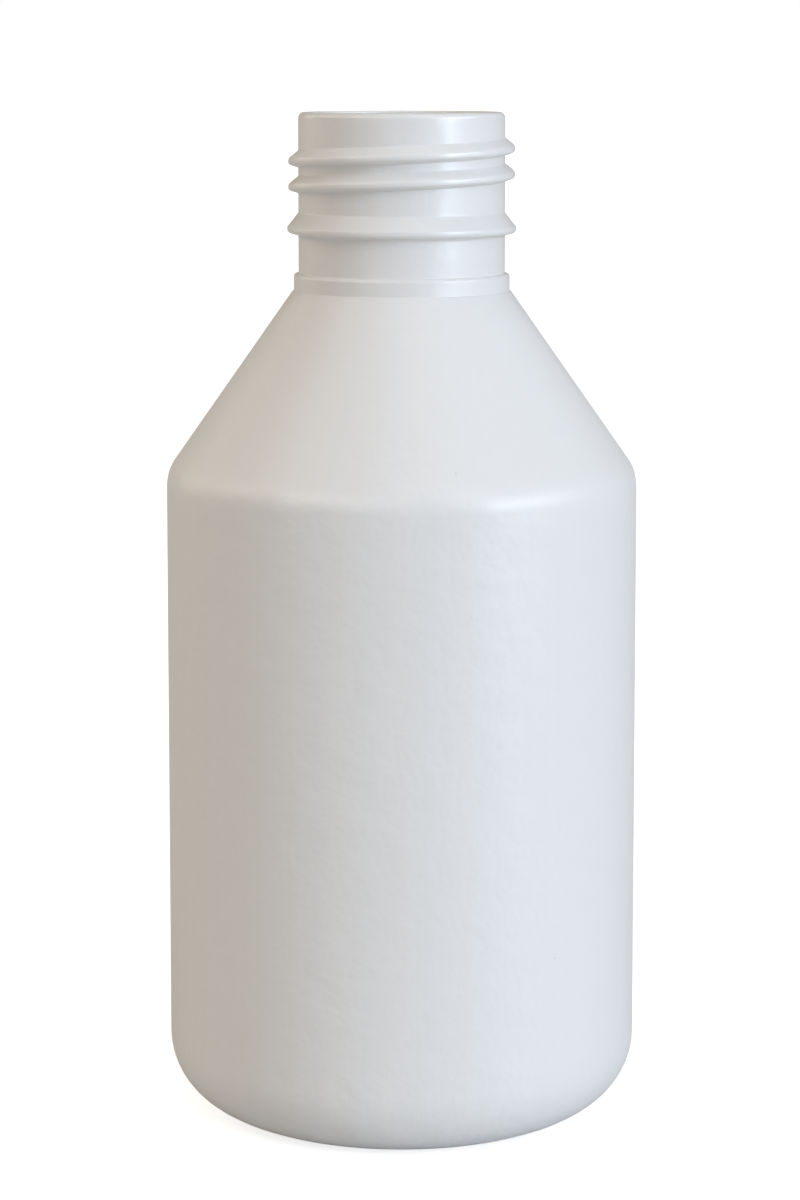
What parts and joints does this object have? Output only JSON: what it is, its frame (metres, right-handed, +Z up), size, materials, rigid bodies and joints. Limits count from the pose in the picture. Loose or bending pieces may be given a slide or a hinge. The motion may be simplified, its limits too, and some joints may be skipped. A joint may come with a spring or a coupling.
{
  "type": "honey bottle",
  "caption": "Opaque white round plastic bottle with a conical shoulder and a screw neck with a tamper band bead, open at the mouth, for honey and other thick liquids.",
  "frame": {"origin": "centre of the standing ring under the base", "axes": "+Z up along the bottle's axis, +X to the right and -Y to the front as in the picture"},
  "size_m": [0.0782, 0.0782, 0.166],
  "materials": {
    "white_plastic": "satin, as moulded"
  },
  "bodies": {
    "root": {"bottle": "white_plastic"}
  },
  "joints": []
}
